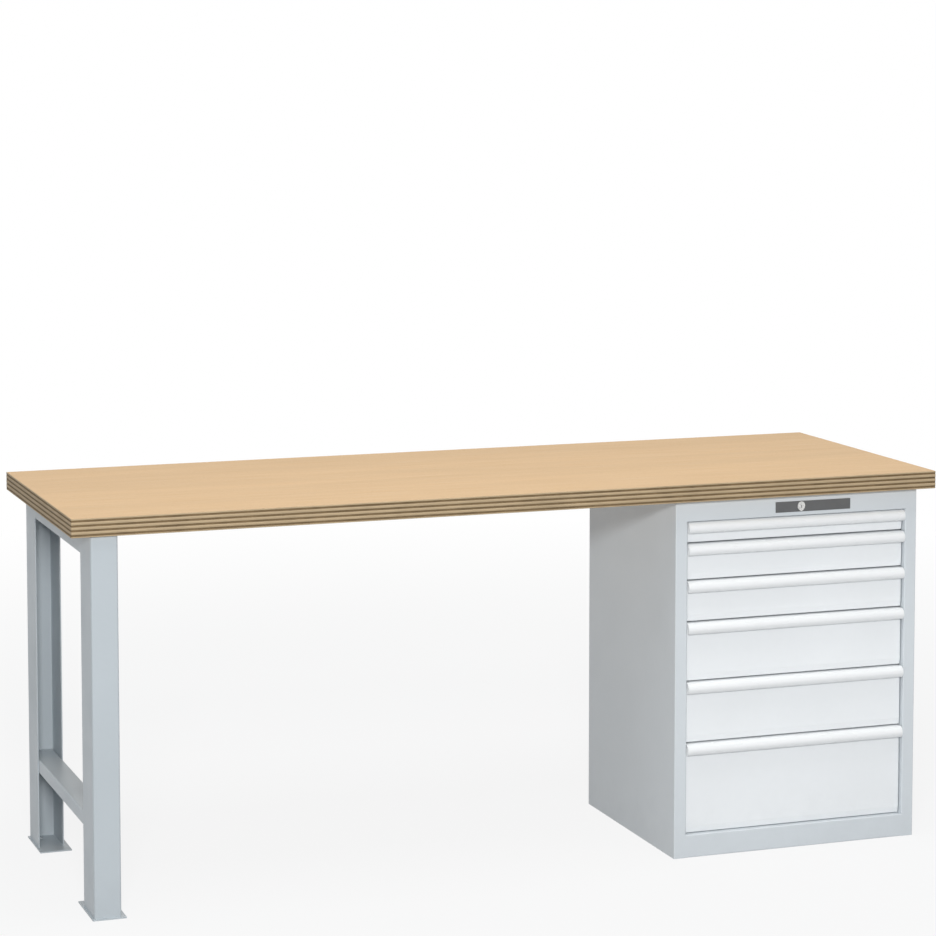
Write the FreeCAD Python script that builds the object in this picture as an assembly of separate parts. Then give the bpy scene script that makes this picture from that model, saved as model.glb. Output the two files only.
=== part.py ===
"""Workbench with a drawer cabinet at its right end and an open leg frame at its left end.

Frame: millimetres, +X along the bench to the right, +Y to the back, +Z up.
The origin is on the floor, under the middle of the worktop.
Sheet-metal pieces are folded sections: a path through the outer faces, bent with a small inside radius.
"""
import FreeCAD, Part
import math
import os

from FreeCAD import Vector

# ---------------------------------------------------------------- driving dimensions
# worktop
WORKTOP_LENGTH = 2000.0
WORKTOP_DEPTH = 700.0
WORKTOP_THICKNESS = 40.0
WORKTOP_EDGE_ROUND = 1.2

# drawer cabinet
CABINET_WIDTH = 600.0
CABINET_DEPTH = 510.0
CABINET_END_OVERHANG = 35.0        # worktop past the cabinet's right side
CABINET_FRONT_SETBACK = 25.0       # worktop's front edge to the front frame
SHEET = 1.5                        # wall of every cabinet sheet
BEND_INSIDE = 1.0                  # inside radius of every cabinet bend
STILE_WIDTH = 29.0
TOP_RAIL_HEIGHT = 48.0
BOTTOM_RAIL_HEIGHT = 52.0
FRAME_RETURN = 20.0                # depth of the front frame's inward lips
BACK_FLANGE = 15.0
PAN_FLANGE = 14.0                  # down-turned edge of the cabinet's top and base

# drawers, top to bottom
DRAWER_HEIGHTS = [50.0, 84.0, 94.0, 135.0, 140.0, 207.0]
FRONT_GAP = 3.0                    # between two fronts
FRONT_SIDE_GAP = 2.0               # front to stile
FRONT_RECESS = 12.0                # front's face behind the frame's face
FRONT_PAN_DEPTH = 14.0
FRONT_LIP = 15.0                   # folded in along the pan's back, against the tray
FRONT_BEVEL_HEIGHT = 14.0
FRONT_BEVEL_DEPTH = 2.0
FRONT_EDGE_ROUND = 1.5
TRAY_BACK_CLEARANCE = 54.0         # tray's end to the cabinet's outer back face
TRAY_FLOOR_RISE = 4.0              # tray's underside above the drawer's own floor line
TRAY_RIM_DROP = 10.0               # tray's rim below the top of the drawer's space
TRAY_RIM_FOLD = 6.0                # inward fold along the tray's side walls

# handle strip, one along the top of each front
HANDLE_HEIGHT = 27.0
HANDLE_REACH = 18.0                # nose in front of the front's face
HANDLE_WALL = 2.5
HANDLE_BACK_WALL = 2.0
HANDLE_LIP_ANGLE = 60.0            # how far the nose curls under

# telescopic runners; "inward" is measured from the cabinet's outer side face
RUNNER_AXIS_RISE = 20.0            # runner's centre above the drawer's floor line
CABINET_RAIL_HALF = 17.0           # half height, outside
CABINET_RAIL_WALL = 2.0
CABINET_RAIL_FRONT_PLAY = 2.5      # its front end behind the drawers' catches
CABINET_RAIL_BACK_CLEARANCE = 7.0
MID_RAIL_STILE_PLAY = 3.0          # middle rail past the stile as it slides out
MID_RAIL_WIDTH = 12.0
MID_RAIL_HALF = 13.0
MID_RAIL_WALL = 2.0
MID_RAIL_FRONT_PLAY = 1.5          # closed middle rail behind the drawer's front
MID_RAIL_BACK_CLEARANCE = 70.0
RAIL_SIDE_PLAY = 1.0               # cabinet rail's edge to the middle rail
DRAWER_RAIL_WIDTH = 7.0
DRAWER_RAIL_HALF = 16.0
DRAWER_RAIL_WALL = 2.0
DRAWER_RAIL_SIDE_PLAY = 2.0        # middle rail to the drawer rail's web
DRAWER_RAIL_BACK_CLEARANCE = 72.0
ROLLER_PLAY = 0.5                  # roller to the flanges that it runs between
ROLLER_FACE_PLAY = 0.5
SMALL_ROLLER_WIDTH = 4.0
LARGE_ROLLER_WIDTH = 6.5
LARGE_ROLLER_INSET = 1.5           # its inner face inside the cabinet rail's edge
AXLE_RADIUS = 3.0
FIXED_ROLLER_FROM_RAIL_END = 14.0
MOVING_ROLLER_FROM_RAIL_END = 16.0

# central lock
STRIP_LEFT = 244.0                 # dark strip, from the cabinet's left side
STRIP_LENGTH = 186.0
STRIP_HEIGHT = 24.0
STRIP_RISE = 9.0                   # above the drawer opening
STRIP_THICKNESS = 1.5
LOCK_FROM_LEFT = 307.0
LOCK_PLUG_RADIUS = 6.0
LOCK_RUNNING_CLEARANCE = 0.1
LOCK_HOUSING_WALL = 3.0
LOCK_HOUSING_LENGTH = 20.0
LOCK_FACE_PROUD = 3.5              # plug's face in front of the frame's face
KEY_SLOT_LENGTH = 7.0
KEY_SLOT_WIDTH = 1.6
KEY_SLOT_DEPTH = 9.0
ESCUTCHEON_WIDTH = 18.0
ESCUTCHEON_HEIGHT = 22.0
ESCUTCHEON_THICKNESS = 1.5
ESCUTCHEON_WAIST = 0.72            # width of its lower arch part way down, against the full width
ESCUTCHEON_WAIST_DROP = 0.62       # how far down the lower arch that width is
CAM_THICKNESS = 3.0
CAM_PIN_REACH = 9.0                # cam pin from the plug's axis
CAM_PIN_RADIUS = 2.5
CAM_REST_ANGLE = 45.0              # cam pin at rest, to the left of straight up; it turns as far to the right
LINK_PLAY = 0.5                    # pins in their slots, plates past each other
LINK_THICKNESS = 3.0
CROSSBAR_HEIGHT = 15.0
CROSSBAR_LEFT_MARGIN = 8.0         # crossbar past the cam's pin
CROSSBAR_RIGHT_MARGIN = 4.0        # crossbar past its own pin
LOCK_BAR_DROP = 6.5                # travel that locks the drawers
LOCK_BAR_WIDTH = 14.0
LOCK_BAR_FRONT_PLAY = 4.0          # behind the closed drawers' fronts
LOCK_BAR_FROM_SIDE = 10.0          # bar's outer edge to the cabinet's outer side face
LOCK_HEAD_MARGIN = 5.0             # lock bar's head round its slot
LOCK_HEAD_RIGHT_MARGIN = 2.5       # head past the bar's outer edge
FINGER_HEIGHT = 5.0
FINGER_REACH = 8.5                 # finger tip past the catch's outer edge
CATCH_HEIGHT = 5.0
CATCH_RAIL_PLAY = 1.5              # catch above the cabinet rail
CATCH_STILE_PLAY = 3.5             # catch past the stile as the drawer slides out
CATCH_PLAY = 3.0                   # drawer's play against a locked finger
CATCH_THICKNESS = 3.0
FINGER_OVER_CATCH = 1.0            # unlocked finger above its catch
GUIDE_HEIGHT = 6.0
GUIDE_WALL = 2.0
GUIDE_COUNT = 3

# leg frame
LEG_END_OVERHANG = 42.0            # worktop past the leg frame
LEG_SETBACK = 10.0                 # worktop's long edges past the posts
POST_WIDTH = 58.0
POST_DEPTH = 100.0
POST_WALL = 2.5
POST_BEND_INSIDE = 2.0
BEAM_HEIGHT = 50.0
STRETCHER_TOP = 205.0
STRETCHER_HEIGHT = 28.0
FOOT_THICKNESS = 3.0
FOOT_LEFT_MARGIN = 4.0             # plate past the post's flange at the bench's end
FOOT_RIGHT_MARGIN = 10.0
FOOT_OUTWARD = 4.0                 # plate past the post's web
FOOT_INWARD = 40.0                 # plate past the ends of the post's flanges
ANCHOR_HOLE_RADIUS = 6.0
ANCHOR_FROM_LEFT = 20.0            # from the flange at the bench's end
ANCHOR_FROM_WEB = 22.0

# fixing screws
SCREW_SHANK_RADIUS = 3.0
SCREW_BITE = 30.0
SCREW_HEAD_ACROSS = 13.0
SCREW_HEAD_HEIGHT = 5.0
WASHER_RADIUS = 9.0
WASHER_THICKNESS = 1.5
SCREW_HOLE_RADIUS = 3.5
LEG_SCREW_COUNT = 4
LEG_SCREW_END_MARGIN = 60.0
CABINET_SCREW_MARGIN_X = 70.0
CABINET_SCREW_MARGIN_Y = 90.0

# ---------------------------------------------------------------- places that follow from them
CABINET_HEIGHT = BOTTOM_RAIL_HEIGHT + sum(DRAWER_HEIGHTS) + TOP_RAIL_HEIGHT
BENCH_HEIGHT = CABINET_HEIGHT + WORKTOP_THICKNESS

CAB_RIGHT = WORKTOP_LENGTH / 2 - CABINET_END_OVERHANG
CAB_LEFT = CAB_RIGHT - CABINET_WIDTH
CAB_FRONT = -WORKTOP_DEPTH / 2 + CABINET_FRONT_SETBACK
CAB_BACK = CAB_FRONT + CABINET_DEPTH
OPENING_LEFT = CAB_LEFT + STILE_WIDTH
OPENING_RIGHT = CAB_RIGHT - STILE_WIDTH
OPENING_TOP = CABINET_HEIGHT - TOP_RAIL_HEIGHT
CORNER = BEND_INSIDE + SHEET       # outside radius of a bend in the housing
FRONT_FACE = CAB_FRONT + FRONT_RECESS
TRAY_FRONT = FRONT_FACE + FRONT_PAN_DEPTH
TRAY_BACK = CAB_BACK - TRAY_BACK_CLEARANCE

LOCK_X = CAB_LEFT + LOCK_FROM_LEFT
LOCK_Z = OPENING_TOP + STRIP_RISE + STRIP_HEIGHT / 2
CROSSBAR_TRAVEL = 2 * CAM_PIN_REACH * math.sin(math.radians(CAM_REST_ANGLE))
BAR_FRONT = TRAY_FRONT + LOCK_BAR_FRONT_PLAY
CROSSBAR_FRONT = BAR_FRONT + LINK_THICKNESS + LINK_PLAY
CAM_FRONT = CROSSBAR_FRONT - LINK_PLAY - CAM_THICKNESS
CROSSBAR_Z = LOCK_Z + CAM_PIN_REACH * (1 + math.cos(math.radians(CAM_REST_ANGLE))) / 2
BAR_RIGHT = CAB_RIGHT - LOCK_BAR_FROM_SIDE
BAR_LEFT = BAR_RIGHT - LOCK_BAR_WIDTH

CATCH_RISE = RUNNER_AXIS_RISE + CABINET_RAIL_HALF + CATCH_RAIL_PLAY
CATCH_OUTER_EDGE = STILE_WIDTH + CATCH_STILE_PLAY
CATCH_FRONT = BAR_FRONT + LINK_THICKNESS + CATCH_PLAY
FINGER_INNER_EDGE = CATCH_OUTER_EDGE + FINGER_REACH

MID_RAIL_OUTER_EDGE = STILE_WIDTH + MID_RAIL_STILE_PLAY
MID_RAIL_INNER_EDGE = MID_RAIL_OUTER_EDGE + MID_RAIL_WIDTH
MID_WEB_OUTER = (MID_RAIL_OUTER_EDGE + MID_RAIL_INNER_EDGE - MID_RAIL_WALL) / 2
CABINET_RAIL_INNER_EDGE = MID_RAIL_OUTER_EDGE - RAIL_SIDE_PLAY
CABINET_RAIL_FRONT = CATCH_FRONT + CATCH_THICKNESS + CABINET_RAIL_FRONT_PLAY
LARGE_ROLLER_OUTER_EDGE = CABINET_RAIL_INNER_EDGE - LARGE_ROLLER_INSET - LARGE_ROLLER_WIDTH
TRAY_SIDE = MID_RAIL_INNER_EDGE + DRAWER_RAIL_SIDE_PLAY + DRAWER_RAIL_WALL
DRAWER_RAIL_OUTER_EDGE = TRAY_SIDE - DRAWER_RAIL_WIDTH

LEG_LEFT = -WORKTOP_LENGTH / 2 + LEG_END_OVERHANG
LEG_RIGHT = LEG_LEFT + POST_WIDTH
LEG_FRONT = -WORKTOP_DEPTH / 2 + LEG_SETBACK
LEG_BACK = WORKTOP_DEPTH / 2 - LEG_SETBACK

X_AXIS = Vector(1, 0, 0)
Y_AXIS = Vector(0, 1, 0)
Z_AXIS = Vector(0, 0, 1)


# ---------------------------------------------------------------- drawing helpers
def on_xy(a, b):
    return Vector(a, b, 0)


def on_yz(a, b):
    return Vector(0, a, b)


def on_xz(a, b):
    return Vector(a, 0, b)


def block(x0, x1, y0, y1, z0, z1):
    """Box between two corners."""
    return Part.makeBox(x1 - x0, y1 - y0, z1 - z0, Vector(x0, y0, z0))


def rod(radius, start, end):
    """Round bar between two points."""
    return Part.makeCylinder(radius, (end - start).Length, start, end - start)


def polygon(points, plane):
    corners = [plane(a, b) for a, b in points]
    return Part.Face(Part.makePolygon(corners + corners[:1]))


def unit(start, end):
    length = math.hypot(end[0] - start[0], end[1] - start[1])
    return ((end[0] - start[0]) / length, (end[1] - start[1]) / length)


def bent_line(points, radii, plane):
    """Edges along an open line whose inner corners are arcs of the given radii."""
    edges = []
    here = points[0]
    for i in range(1, len(points) - 1):
        corner = points[i]
        before = unit(corner, points[i - 1])
        after = unit(corner, points[i + 1])
        cosine = before[0] * after[0] + before[1] * after[1]
        half = math.acos(max(-1.0, min(1.0, cosine))) / 2
        tangent = radii[i - 1] / math.tan(half)
        start = (corner[0] + before[0] * tangent, corner[1] + before[1] * tangent)
        end = (corner[0] + after[0] * tangent, corner[1] + after[1] * tangent)
        inward = unit((0, 0), (before[0] + after[0], before[1] + after[1]))
        reach = radii[i - 1] / math.sin(half) - radii[i - 1]
        middle = (corner[0] + inward[0] * reach, corner[1] + inward[1] * reach)
        edges.append(Part.LineSegment(plane(*here), plane(*start)).toShape())
        edges.append(Part.Arc(plane(*start), plane(*middle), plane(*end)).toShape())
        here = end
    edges.append(Part.LineSegment(plane(*here), plane(*points[-1])).toShape())
    return edges


def folded_face(points, wall, inside, plane):
    """Section of a folded sheet. The points run along its outer faces, and it turns left at every bend."""
    inner = []
    for i, point in enumerate(points):
        ends = []
        if i > 0:
            ends.append(unit(points[i - 1], point))
        if i < len(points) - 1:
            ends.append(unit(point, points[i + 1]))
        lefts = [(-d[1], d[0]) for d in ends]
        if len(lefts) == 1:
            inner.append((point[0] + lefts[0][0] * wall, point[1] + lefts[0][1] * wall))
            continue
        along = (lefts[0][0] + lefts[1][0], lefts[0][1] + lefts[1][1])
        scale = wall / (1 + lefts[0][0] * lefts[1][0] + lefts[0][1] * lefts[1][1])
        inner.append((point[0] + along[0] * scale, point[1] + along[1] * scale))
    bends = len(points) - 2
    edges = bent_line(points, [inside + wall] * bends, plane)
    edges.append(Part.LineSegment(plane(*points[-1]), plane(*inner[-1])).toShape())
    edges += bent_line(inner[::-1], [inside] * bends, plane)
    edges.append(Part.LineSegment(plane(*inner[0]), plane(*points[0])).toShape())
    return Part.Face(Part.Wire(Part.__sortEdges__(edges)))


def along_x(face, x0, x1):
    return face.translated(X_AXIS * x0).extrude(X_AXIS * (x1 - x0))


def along_y(face, y0, y1):
    return face.translated(Y_AXIS * y0).extrude(Y_AXIS * (y1 - y0))


def along_z(face, z0, z1):
    return face.translated(Z_AXIS * z0).extrude(Z_AXIS * (z1 - z0))


def mirrored_in_cabinet(shape):
    """The same piece on the cabinet's other side."""
    middle = (CAB_LEFT + CAB_RIGHT) / 2
    return shape.mirror(Vector(middle, 0, 0), X_AXIS)


def both_sides(shapes):
    """Pieces of the left side and their mirror images."""
    return shapes + [mirrored_in_cabinet(s) for s in shapes]


def even_places(first, last, count):
    return [first + (last - first) * i / (count - 1) for i in range(count)]


def slot_face(start, end, radius):
    """Outline in the XZ plane of a round-ended slot between two points."""
    d = unit(start, end)
    side = (-d[1] * radius, d[0] * radius)
    tip = (d[0] * radius, d[1] * radius)
    a = (start[0] + side[0], start[1] + side[1])
    b = (end[0] + side[0], end[1] + side[1])
    c = (end[0] - side[0], end[1] - side[1])
    e = (start[0] - side[0], start[1] - side[1])
    edges = [
        Part.LineSegment(on_xz(*a), on_xz(*b)).toShape(),
        Part.Arc(on_xz(*b), on_xz(end[0] + tip[0], end[1] + tip[1]), on_xz(*c)).toShape(),
        Part.LineSegment(on_xz(*c), on_xz(*e)).toShape(),
        Part.Arc(on_xz(*e), on_xz(start[0] - tip[0], start[1] - tip[1]), on_xz(*a)).toShape(),
    ]
    return Part.Face(Part.Wire(edges))


# ---------------------------------------------------------------- worktop and its screws
def leg_screw_places():
    x = (LEG_LEFT + LEG_RIGHT) / 2
    first = LEG_FRONT + POST_DEPTH + LEG_SCREW_END_MARGIN
    last = LEG_BACK - POST_DEPTH - LEG_SCREW_END_MARGIN
    return [(x, y) for y in even_places(first, last, LEG_SCREW_COUNT)]


def cabinet_screw_places():
    xs = (CAB_LEFT + CABINET_SCREW_MARGIN_X, CAB_RIGHT - CABINET_SCREW_MARGIN_X)
    ys = (CAB_FRONT + CABINET_SCREW_MARGIN_Y, CAB_BACK - CABINET_SCREW_MARGIN_Y)
    return [(x, y) for x in xs for y in ys]


def hole_up(x, y, z0, z1, radius):
    return rod(radius, Vector(x, y, z0), Vector(x, y, z1))


def worktop():
    board = block(-WORKTOP_LENGTH / 2, WORKTOP_LENGTH / 2, -WORKTOP_DEPTH / 2, WORKTOP_DEPTH / 2,
                  CABINET_HEIGHT, BENCH_HEIGHT)
    board = board.makeFillet(WORKTOP_EDGE_ROUND, board.Edges)
    pilots = [hole_up(x, y, CABINET_HEIGHT, CABINET_HEIGHT + SCREW_BITE, SCREW_SHANK_RADIUS)
              for x, y in leg_screw_places() + cabinet_screw_places()]
    return board.cut(Part.makeCompound(pilots))


def screw(x, y, seat):
    """Hexagon screw with its washer, driven up into the worktop from a seat under a sheet."""
    across = SCREW_HEAD_ACROSS / math.sqrt(3)
    corners = [(x + across * math.cos(math.radians(60 * i)), y + across * math.sin(math.radians(60 * i)))
               for i in range(6)]
    head_top = seat - WASHER_THICKNESS
    head = along_z(polygon(corners, on_xy), head_top - SCREW_HEAD_HEIGHT, head_top)
    washer = hole_up(x, y, head_top, seat, WASHER_RADIUS)
    shank = hole_up(x, y, seat, CABINET_HEIGHT + SCREW_BITE, SCREW_SHANK_RADIUS)
    return head.fuse([washer, shank]).removeSplitter()


def worktop_screws():
    leg = [screw(x, y, CABINET_HEIGHT - POST_WALL) for x, y in leg_screw_places()]
    cabinet = [screw(x, y, CABINET_HEIGHT - SHEET) for x, y in cabinet_screw_places()]
    return Part.makeCompound(leg + cabinet)


# ---------------------------------------------------------------- leg frame
def leg_post(back):
    """U section standing on its foot plate, its web towards the long edge of the worktop."""
    web = LEG_BACK if back else LEG_FRONT
    lip = web - POST_DEPTH if back else web + POST_DEPTH
    path = [(LEG_LEFT, lip), (LEG_LEFT, web), (LEG_RIGHT, web), (LEG_RIGHT, lip)]
    if back:
        path = path[::-1]
    section = folded_face(path, POST_WALL, POST_BEND_INSIDE, on_xy)
    return along_z(section, FOOT_THICKNESS, CABINET_HEIGHT)


def leg_top_beam():
    """U section open downwards between the posts' flanges, with holes for the worktop's screws."""
    bottom = CABINET_HEIGHT - BEAM_HEIGHT
    path = [(LEG_RIGHT, bottom), (LEG_RIGHT, CABINET_HEIGHT), (LEG_LEFT, CABINET_HEIGHT), (LEG_LEFT, bottom)]
    beam = along_y(folded_face(path, POST_WALL, POST_BEND_INSIDE, on_xz),
                   LEG_FRONT + POST_DEPTH, LEG_BACK - POST_DEPTH)
    holes = [hole_up(x, y, CABINET_HEIGHT - BEAM_HEIGHT, CABINET_HEIGHT, SCREW_HOLE_RADIUS)
             for x, y in leg_screw_places()]
    return beam.cut(Part.makeCompound(holes))


def leg_stretcher():
    """U section open downwards between the posts' flanges, as long as their inside corners allow."""
    left = LEG_LEFT + POST_WALL
    right = LEG_RIGHT - POST_WALL
    bottom = STRETCHER_TOP - STRETCHER_HEIGHT
    path = [(right, bottom), (right, STRETCHER_TOP), (left, STRETCHER_TOP), (left, bottom)]
    inset = POST_WALL + POST_BEND_INSIDE
    return along_y(folded_face(path, POST_WALL, POST_BEND_INSIDE, on_xz), LEG_FRONT + inset, LEG_BACK - inset)


def leg_foot_plate(back):
    left = LEG_LEFT - FOOT_LEFT_MARGIN
    right = LEG_RIGHT + FOOT_RIGHT_MARGIN
    front = LEG_BACK - POST_DEPTH - FOOT_INWARD if back else LEG_FRONT - FOOT_OUTWARD
    rear = LEG_BACK + FOOT_OUTWARD if back else LEG_FRONT + POST_DEPTH + FOOT_INWARD
    plate = block(left, right, front, rear, 0, FOOT_THICKNESS)
    anchor_y = LEG_BACK - ANCHOR_FROM_WEB if back else LEG_FRONT + ANCHOR_FROM_WEB
    return plate.cut(hole_up(LEG_LEFT + ANCHOR_FROM_LEFT, anchor_y, 0, FOOT_THICKNESS, ANCHOR_HOLE_RADIUS))


def leg_foot_plates():
    return Part.makeCompound([leg_foot_plate(False), leg_foot_plate(True)])


# ---------------------------------------------------------------- cabinet housing
def cabinet_side_left():
    """Side wall with its stile and a flange for the back; the stile's inward lip ends at the rails."""
    path = [(CAB_LEFT + BACK_FLANGE, CAB_BACK), (CAB_LEFT, CAB_BACK), (CAB_LEFT, CAB_FRONT),
            (OPENING_LEFT, CAB_FRONT), (OPENING_LEFT, CAB_FRONT + FRAME_RETURN)]
    side = along_z(folded_face(path, SHEET, BEND_INSIDE, on_xy), 0, CABINET_HEIGHT)
    back = CAB_FRONT + FRAME_RETURN
    notches = [block(OPENING_LEFT - CORNER, OPENING_LEFT, CAB_FRONT, back, 0, BOTTOM_RAIL_HEIGHT),
               block(OPENING_LEFT - CORNER, OPENING_LEFT, CAB_FRONT, back, OPENING_TOP, CABINET_HEIGHT)]
    return side.cut(notches)


def cross_rail(bottom, top):
    """Front rail that butts on the stiles' flat faces, a shallow channel open to the back."""
    path = [(CAB_FRONT + FRAME_RETURN, top), (CAB_FRONT, top), (CAB_FRONT, bottom),
            (CAB_FRONT + FRAME_RETURN, bottom)]
    return along_x(folded_face(path, SHEET, BEND_INSIDE, on_yz), OPENING_LEFT - CORNER, OPENING_RIGHT + CORNER)


def lock_bore(radius):
    return rod(radius, Vector(LOCK_X, CAB_FRONT - ESCUTCHEON_THICKNESS - STRIP_THICKNESS, LOCK_Z),
               Vector(LOCK_X, CAB_FRONT + FRAME_RETURN, LOCK_Z))


def front_top_rail():
    return cross_rail(OPENING_TOP, CABINET_HEIGHT).cut(lock_bore(lock_housing_radius()))


def front_bottom_rail():
    return cross_rail(0, BOTTOM_RAIL_HEIGHT)


def flat_pan(top):
    """Flat sheet inside the housing with its edges turned down."""
    x0 = CAB_LEFT + SHEET
    x1 = CAB_RIGHT - SHEET
    y0 = CAB_FRONT + FRAME_RETURN
    y1 = CAB_BACK - 2 * SHEET
    outer = block(x0, x1, y0, y1, top - PAN_FLANGE, top)
    inner = block(x0 + SHEET, x1 - SHEET, y0 + SHEET, y1 - SHEET, top - PAN_FLANGE, top - SHEET)
    return outer.cut(inner)


def cabinet_top():
    holes = [hole_up(x, y, CABINET_HEIGHT - PAN_FLANGE, CABINET_HEIGHT, SCREW_HOLE_RADIUS)
             for x, y in cabinet_screw_places()]
    return flat_pan(CABINET_HEIGHT).cut(Part.makeCompound(holes))


def cabinet_base():
    return flat_pan(BOTTOM_RAIL_HEIGHT)


def cabinet_back():
    return block(CAB_LEFT + CORNER, CAB_RIGHT - CORNER, CAB_BACK - 2 * SHEET, CAB_BACK - SHEET,
                 0, CABINET_HEIGHT)


# ---------------------------------------------------------------- runners
def floor_lines():
    """Height of each drawer's floor line, top drawer first."""
    lines = []
    z = OPENING_TOP
    for height in DRAWER_HEIGHTS:
        z -= height
        lines.append(z)
    return lines


def inward(distance):
    """X of a place on the left side, from the cabinet's outer face."""
    return CAB_LEFT + distance


def cabinet_rail(axis_z):
    """Channel fixed flat to the side wall, open to the drawer."""
    path = [(inward(CABINET_RAIL_INNER_EDGE), axis_z + CABINET_RAIL_HALF),
            (inward(SHEET), axis_z + CABINET_RAIL_HALF),
            (inward(SHEET), axis_z - CABINET_RAIL_HALF),
            (inward(CABINET_RAIL_INNER_EDGE), axis_z - CABINET_RAIL_HALF)]
    section = folded_face(path, CABINET_RAIL_WALL, BEND_INSIDE, on_xz)
    return along_y(section, CABINET_RAIL_FRONT, CAB_BACK - CABINET_RAIL_BACK_CLEARANCE)


def roller(radius, width, u0, y, z):
    """Wheel of a runner on its left side, u0 being its outer face."""
    return rod(radius, Vector(inward(u0), y, z), Vector(inward(u0 + width), y, z))


def small_roller_radius():
    return MID_RAIL_HALF - MID_RAIL_WALL - ROLLER_PLAY


def fixed_roller(axis_z):
    """Roller at the cabinet rail's front end, running in the middle rail's outer channel."""
    y = CABINET_RAIL_FRONT + FIXED_ROLLER_FROM_RAIL_END
    outer = MID_WEB_OUTER - ROLLER_FACE_PLAY - SMALL_ROLLER_WIDTH
    wheel = roller(small_roller_radius(), SMALL_ROLLER_WIDTH, outer, y, axis_z)
    axle = rod(AXLE_RADIUS, Vector(inward(SHEET + CABINET_RAIL_WALL), y, axis_z), Vector(inward(outer), y, axis_z))
    return wheel.fuse(axle).removeSplitter()


def mid_rail(axis_z):
    """I section between the cabinet's rail and the drawer's, carried by a large roller at its back end."""
    front = TRAY_FRONT + MID_RAIL_FRONT_PLAY
    back = CAB_BACK - MID_RAIL_BACK_CLEARANCE
    u0 = inward(MID_RAIL_OUTER_EDGE)
    u1 = inward(MID_RAIL_INNER_EDGE)
    top = block(u0, u1, front, back, axis_z + MID_RAIL_HALF - MID_RAIL_WALL, axis_z + MID_RAIL_HALF)
    bottom = block(u0, u1, front, back, axis_z - MID_RAIL_HALF, axis_z - MID_RAIL_HALF + MID_RAIL_WALL)
    plate = block(inward(MID_WEB_OUTER), inward(MID_WEB_OUTER + MID_RAIL_WALL), front, back,
                  axis_z - MID_RAIL_HALF, axis_z + MID_RAIL_HALF)
    y = back - MOVING_ROLLER_FROM_RAIL_END
    large = CABINET_RAIL_HALF - CABINET_RAIL_WALL - ROLLER_PLAY
    wheel = roller(large, LARGE_ROLLER_WIDTH, LARGE_ROLLER_OUTER_EDGE, y, axis_z)
    axle = rod(AXLE_RADIUS, Vector(inward(LARGE_ROLLER_OUTER_EDGE + LARGE_ROLLER_WIDTH), y, axis_z),
               Vector(inward(MID_WEB_OUTER), y, axis_z))
    rail = top.fuse([bottom, plate]).removeSplitter()
    return [rail, wheel.fuse(axle).removeSplitter()]


def drawer_rail(axis_z):
    """Channel on the tray's side, open outwards over the middle rail, with a roller at its back end."""
    path = [(inward(DRAWER_RAIL_OUTER_EDGE), axis_z - DRAWER_RAIL_HALF),
            (inward(TRAY_SIDE), axis_z - DRAWER_RAIL_HALF),
            (inward(TRAY_SIDE), axis_z + DRAWER_RAIL_HALF),
            (inward(DRAWER_RAIL_OUTER_EDGE), axis_z + DRAWER_RAIL_HALF)]
    back = CAB_BACK - DRAWER_RAIL_BACK_CLEARANCE
    rail = along_y(folded_face(path, DRAWER_RAIL_WALL, BEND_INSIDE, on_xz), TRAY_FRONT, back)
    y = back - MOVING_ROLLER_FROM_RAIL_END
    outer = MID_WEB_OUTER + MID_RAIL_WALL + ROLLER_FACE_PLAY
    wheel = roller(small_roller_radius(), SMALL_ROLLER_WIDTH, outer, y, axis_z)
    axle = rod(AXLE_RADIUS, Vector(inward(outer + SMALL_ROLLER_WIDTH), y, axis_z),
               Vector(inward(TRAY_SIDE - DRAWER_RAIL_WALL), y, axis_z))
    return [rail, wheel.fuse(axle).removeSplitter()]


def cabinet_rails():
    return Part.makeCompound(both_sides([cabinet_rail(z + RUNNER_AXIS_RISE) for z in floor_lines()]))


def cabinet_rollers():
    return Part.makeCompound(both_sides([fixed_roller(z + RUNNER_AXIS_RISE) for z in floor_lines()]))


# ---------------------------------------------------------------- drawers
def drawer_front(floor, height):
    """Shallow pan with a slight bevel along its lower edge and lips that close in on the tray's front wall."""
    bottom = floor + FRONT_GAP / 2
    top = floor + height - FRONT_GAP / 2
    x0 = OPENING_LEFT + FRONT_SIDE_GAP
    x1 = OPENING_RIGHT - FRONT_SIDE_GAP
    outer = along_x(polygon([(TRAY_FRONT, top), (FRONT_FACE, top), (FRONT_FACE, bottom + FRONT_BEVEL_HEIGHT),
                             (FRONT_FACE + FRONT_BEVEL_DEPTH, bottom), (TRAY_FRONT, bottom)], on_yz), x0, x1)
    ends = [e for e in outer.Edges
            if abs(e.Vertexes[0].X - e.Vertexes[-1].X) < 1e-6
            and max(v.Y for v in e.Vertexes) < FRONT_FACE + FRONT_BEVEL_DEPTH + 1e-6]
    sills = [e for e in outer.Edges
             if abs(e.Vertexes[0].X - e.Vertexes[-1].X) > 1
             and e.Vertexes[0].Y < FRONT_FACE + FRONT_BEVEL_DEPTH + 1e-6
             and min(abs(e.Vertexes[0].Z - top), abs(e.Vertexes[0].Z - bottom)) < 1e-6]
    outer = outer.makeFillet(FRONT_EDGE_ROUND, ends + sills)
    slope = FRONT_BEVEL_DEPTH / FRONT_BEVEL_HEIGHT
    low = bottom + SHEET
    knee = bottom + FRONT_BEVEL_HEIGHT
    back = TRAY_FRONT - SHEET
    inner = along_x(polygon([(back, top - SHEET), (FRONT_FACE + SHEET, top - SHEET),
                             (FRONT_FACE + SHEET, knee), (FRONT_FACE + SHEET + slope * (knee - low), low),
                             (back, low)], on_yz), x0 + SHEET, x1 - SHEET)
    window = block(x0 + SHEET, x1 - SHEET, back, TRAY_FRONT, bottom + FRONT_LIP, top - FRONT_LIP)
    return outer.cut([inner, window])


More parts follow.
